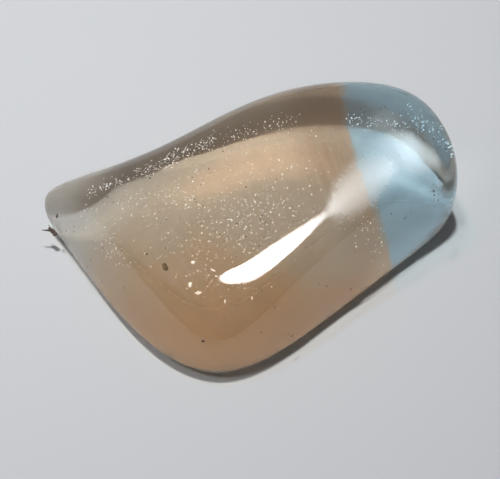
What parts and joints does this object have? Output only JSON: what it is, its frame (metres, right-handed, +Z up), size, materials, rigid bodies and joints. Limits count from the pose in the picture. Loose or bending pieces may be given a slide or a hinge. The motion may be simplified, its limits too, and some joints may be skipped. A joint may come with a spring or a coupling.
{
  "type": "topaz crystal, tumbled pebble",
  "caption": "Tumbled clear topaz pebble, champagne-brown with a pale blue end, worn round and resting on a flat foot.",
  "frame": {"origin": "under the middle of the stone's box, on the plane of its worn flat foot", "axes": "+X along the greatest length, from the narrow pale tip to the broad blue end; +Y towards the tall undercut side; +Z up, away from the foot"},
  "size_m": [0.0302, 0.0204, 0.0104],
  "materials": {
    "clear_topaz": "polished"
  },
  "bodies": {
    "root": {"topaz_pebble": "clear_topaz"}
  },
  "joints": []
}
